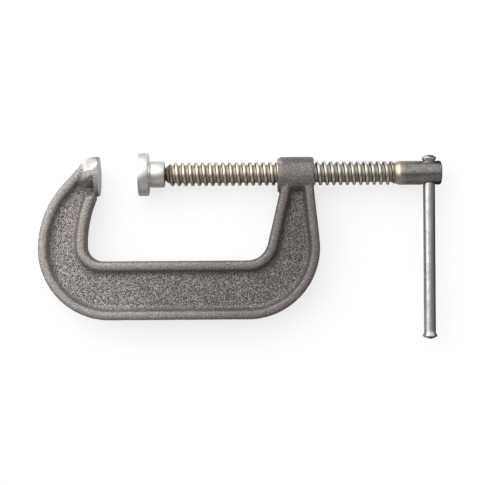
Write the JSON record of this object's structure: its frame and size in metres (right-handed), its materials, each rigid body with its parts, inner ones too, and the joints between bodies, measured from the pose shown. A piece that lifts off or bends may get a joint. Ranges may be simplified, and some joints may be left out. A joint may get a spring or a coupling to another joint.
{
  "type": "c clamp",
  "caption": "Cast-iron C clamp with a coarse screw, swivel pad and sliding handle bar, lying on its side.",
  "frame": {"origin": "point where the screw axis meets the anvil face", "axes": "+X along the screw axis from the anvil towards the handle, +Y away from the spine, +Z square to the flat of the C"},
  "size_m": [0.2689, 0.124, 0.0286],
  "materials": {
    "frame_iron": "rough as cast",
    "screw_steel": "bright turned",
    "pad_steel": "bright turned",
    "ring_steel": "blued spring steel",
    "bar_steel": "drawn"
  },
  "bodies": {
    "frame_body": {"frame": "frame_iron"},
    "ring_body": {"pad_retaining_ring": "ring_steel"},
    "pad_body": {"swivel_pad": "pad_steel"},
    "screw_body": {"screw": "screw_steel"},
    "bar_body": {"handle_bar": "bar_steel"}
  },
  "joints": [
    {"name": "screw_travel", "type": "slide", "parent": "frame_body", "child": "ring_body", "axis": [1, 0, 0], "range_m": [-0.0245, 0.075]},
    {"name": "screw_turn", "type": "hinge", "parent": "ring_body", "child": "screw_body", "pos_m": [0.0364, 0, 0], "axis": [1, 0, 0], "continuous": true},
    {"name": "pad_tilt", "type": "hinge", "parent": "ring_body", "child": "pad_body", "pos_m": [0.0364, 0, 0], "axis": [0, 0, 1], "range_deg": [-6, 6]},
    {"name": "handle_slide", "type": "slide", "parent": "screw_body", "child": "bar_body", "axis": [0, 1, 0], "range_m": [0, 0.0968]}
  ],
  "couplings": [
    {"joint": "screw_turn", "follows": "screw_travel", "rad_per_m": 1396.3}
  ]
}
